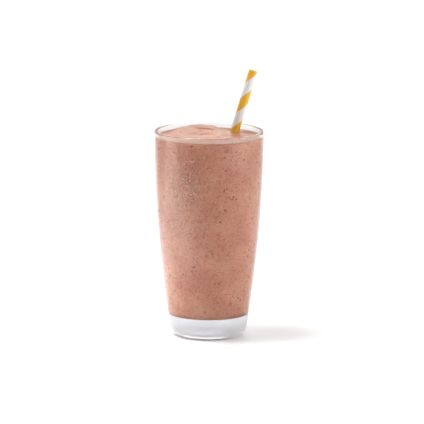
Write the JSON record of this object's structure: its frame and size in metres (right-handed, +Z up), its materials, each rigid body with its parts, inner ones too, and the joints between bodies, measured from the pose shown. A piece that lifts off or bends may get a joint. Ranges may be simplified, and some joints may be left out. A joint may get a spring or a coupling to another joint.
{
  "type": "banana smoothie",
  "caption": "Banana and berry smoothie: a tall tapered glass tumbler with a heavy clear base, filled with a thick pink-brown drink that has a poured mound, with a striped paper straw.",
  "frame": {"origin": "centre of the glass's base, on the table that it stands on", "axes": "+Z up along the axis of the glass, +X towards the side that the straw leans to, -Y towards the front that the picture shows"},
  "size_m": [0.084, 0.084, 0.204],
  "materials": {
    "clear_glass": "clear, polished",
    "pink_smoothie": "wet, opaque pink-brown drink with dark red fruit flecks",
    "striped_paper": "white paper with a golden yellow spiral stripe"
  },
  "bodies": {
    "root": {"glass": "clear_glass", "smoothie": "pink_smoothie", "straw": "striped_paper"}
  },
  "joints": []
}
